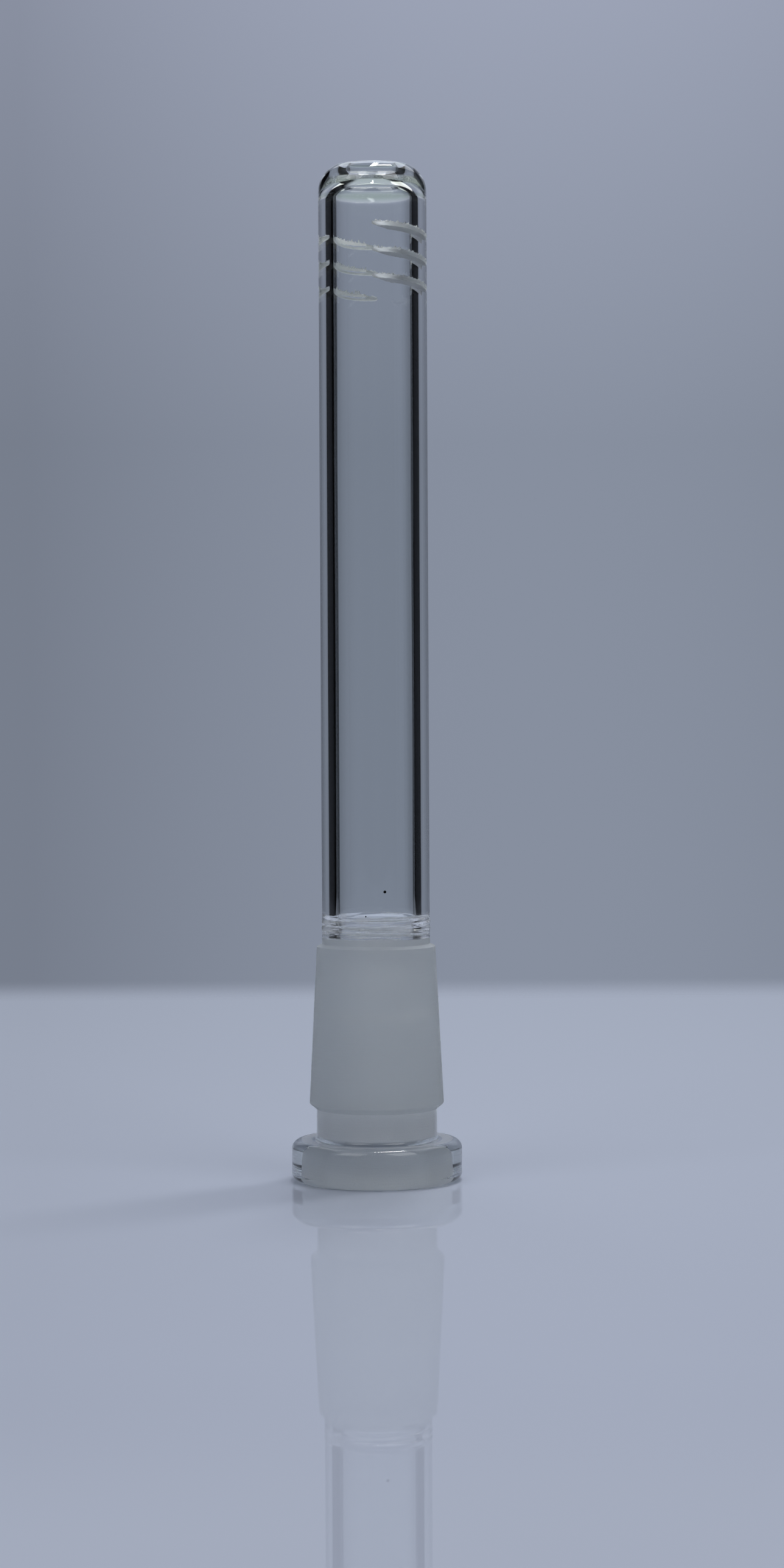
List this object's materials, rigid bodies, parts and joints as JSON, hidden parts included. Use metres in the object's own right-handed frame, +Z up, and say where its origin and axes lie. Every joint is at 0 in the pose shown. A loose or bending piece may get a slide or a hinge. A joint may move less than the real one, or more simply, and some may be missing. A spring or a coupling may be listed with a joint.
{
  "type": "ground-joint diffuser stem",
  "caption": "Clear glass tube with saw-cut diffuser slits and a drawn-in tip, fused to a reducing joint ground as a cone outside and a socket inside, with a thick rim.",
  "frame": {"origin": "centre of the rim's resting face", "axes": "+Z up along the bore, from the rim to the slit tip; -Y is the side that the picture shows"},
  "size_m": [0.0239, 0.0238, 0.1416],
  "materials": {
    "clear_glass": "drawn and fire polished, clear",
    "ground_glass": "ground matt on the cone and in the socket, clear on the neck and rim"
  },
  "bodies": {
    "root": {"stem_tube": "clear_glass", "fused_seal": "clear_glass", "ground_joint": "ground_glass"}
  },
  "joints": []
}
